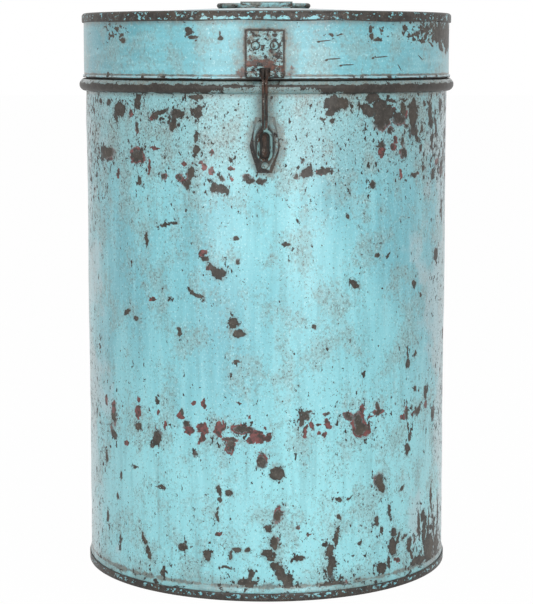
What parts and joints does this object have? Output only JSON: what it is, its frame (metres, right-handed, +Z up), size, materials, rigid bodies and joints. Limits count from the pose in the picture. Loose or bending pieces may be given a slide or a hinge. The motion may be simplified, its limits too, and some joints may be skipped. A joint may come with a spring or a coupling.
{
  "type": "lidded storage drum",
  "caption": "Worn turquoise sheet-iron storage drum with a slip-over hinged lid, a wire hasp hooked over a staple and a folding wire handle.",
  "frame": {"origin": "centre of the drum on the floor, midway between the hasp's and the hinge's reach", "axes": "+Z up along the drum's axis, -Y towards the hasp at the front, +X to the right when facing the hasp"},
  "size_m": [0.3736, 0.3941, 0.5635],
  "materials": {
    "turquoise_paint": "semi-gloss turquoise paint, chipped to dark iron and red primer",
    "worn_fold": "paint mostly rubbed off dark iron",
    "worn_fittings": "turquoise paint worn through on edges and heads, brown rust in the corners",
    "old_wire": "dark rusted wire"
  },
  "bodies": {
    "drum": {"body_shell": "turquoise_paint", "bottom_panel": "worn_fold", "neck_wire": "old_wire", "staple_plate": "worn_fittings", "staple": "old_wire", "staple_rivets": "worn_fittings", "hinge_body_leaf": "worn_fittings", "hinge_pin": "old_wire", "hinge_body_rivets": "worn_fittings"},
    "lid": {"lid_skirt": "turquoise_paint", "lid_top": "worn_fold", "hasp_plate": "worn_fittings", "hasp_pin": "old_wire", "hasp_rivets": "worn_fittings", "hinge_lid_leaf": "worn_fittings", "hinge_lid_rivets": "worn_fittings", "handle_saddle": "worn_fittings", "handle_rivets": "worn_fittings"},
    "hasp_link": {"hasp_link": "old_wire"},
    "handle_bail": {"handle_bail": "worn_fittings"}
  },
  "joints": [
    {"name": "lid_hinge", "type": "hinge", "parent": "drum", "child": "lid", "pos_m": [0, 0.19059, 0.489], "axis": [-1, 0, 0], "range_deg": [0, 180]},
    {"name": "link_hinge", "type": "hinge", "parent": "lid", "child": "hasp_link", "pos_m": [0, -0.1887, 0.4935], "axis": [-1, 0, 0], "range_deg": [0, 180]},
    {"name": "handle_hinge", "type": "hinge", "parent": "lid", "child": "handle_bail", "pos_m": [0, 0, 0.55955], "axis": [1, 0, 0], "range_deg": [0, 180]}
  ]
}
